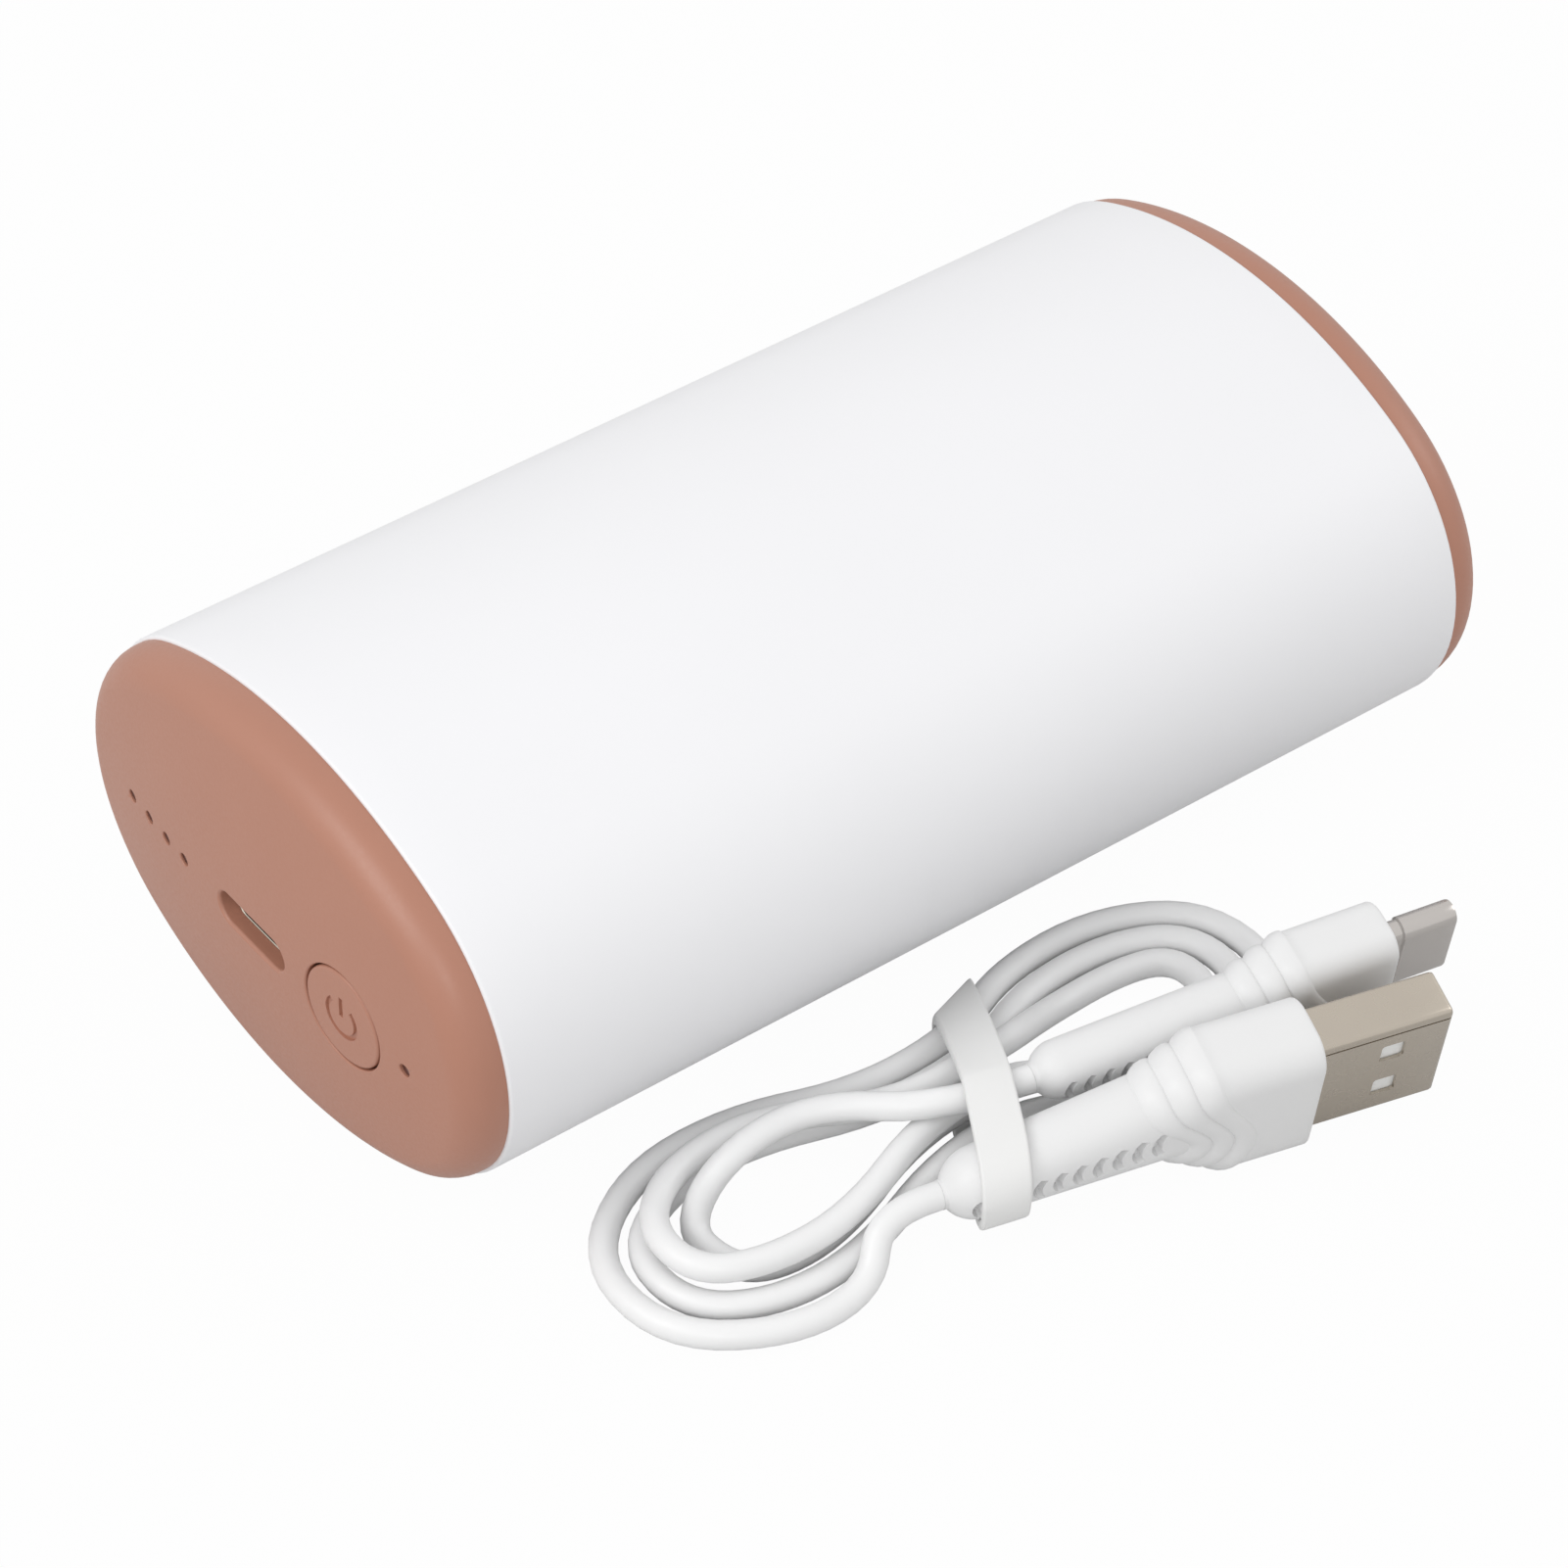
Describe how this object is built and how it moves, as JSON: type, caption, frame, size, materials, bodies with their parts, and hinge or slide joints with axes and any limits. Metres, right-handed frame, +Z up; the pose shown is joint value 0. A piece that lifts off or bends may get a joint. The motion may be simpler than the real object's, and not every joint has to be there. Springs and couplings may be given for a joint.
{
  "type": "rechargeable hand warmer",
  "caption": "Oval aluminium hand warmer with domed moulded caps, a push button, indicator lights and a charging port, with its coiled charging cable lying beside it.",
  "frame": {"origin": "bottom centre of the warmer's bounding box, without the charging cable, on the table plane", "axes": "+X along the barrel away from the control cap, +Y across the wide section, +Z up"},
  "size_m": [0.1114, 0.0909, 0.0391],
  "materials": {
    "white_coated_aluminium": "satin",
    "terracotta_plastic": "satin",
    "clear_plastic": "clear",
    "circuit_laminate": "solder mask",
    "screw_steel": "zinc plated",
    "nickel_steel": "nickel plated",
    "black_plastic": "satin",
    "diode_resin": "clear",
    "cream_plastic": "satin",
    "ferrite": "matte",
    "cell_can": "film sleeve",
    "frame_plastic": "matte",
    "polyimide_film": "film",
    "pad_foam": "foam",
    "lead_insulation": "silicone",
    "cord_pvc": "satin",
    "plug_pvc": "satin",
    "strap_pvc": "satin"
  },
  "bodies": {
    "housing": {"heat_tube": "white_coated_aluminium", "front_cap": "terracotta_plastic", "rear_cap": "terracotta_plastic", "battery_light_guide": "clear_plastic", "heat_light_guide": "clear_plastic", "main_board": "circuit_laminate", "board_screws": "screw_steel", "frame_screws": "screw_steel", "usb_port_shell": "nickel_steel", "usb_a_shell": "nickel_steel", "usb_c_shell": "nickel_steel", "front_cell_strip": "nickel_steel", "rear_cell_strip": "nickel_steel", "usb_port_tongue": "black_plastic", "usb_c_tongue": "black_plastic", "switch_body": "black_plastic", "control_chips": "black_plastic", "thermistor": "black_plastic", "indicator_leds": "diode_resin", "battery_connector": "cream_plastic", "heater_connector": "cream_plastic", "usb_a_tongue": "cream_plastic", "power_inductor": "ferrite", "cell_left": "cell_can", "cell_right": "cell_can", "lower_frame": "frame_plastic", "upper_frame": "frame_plastic", "heater_film": "polyimide_film", "heat_pad": "pad_foam", "battery_leads": "lead_insulation", "heater_leads": "lead_insulation", "charging_cord": "cord_pvc", "usb_a_overmold": "plug_pvc", "usb_c_overmold": "plug_pvc", "cord_tie": "strap_pvc"},
    "power_button": {"power_button": "terracotta_plastic"},
    "switch_plunger": {"switch_plunger": "cream_plastic"}
  },
  "joints": [
    {"name": "button_press", "type": "slide", "parent": "housing", "child": "power_button", "axis": [1, 0, 0], "range_m": [0, 0.0003], "stiffness_N_per_m": 3000},
    {"name": "plunger_press", "type": "slide", "parent": "housing", "child": "switch_plunger", "axis": [1, 0, 0], "range_m": [0, 0.0003]}
  ],
  "couplings": [
    {"joint": "plunger_press", "follows": "button_press", "ratio": 1}
  ]
}
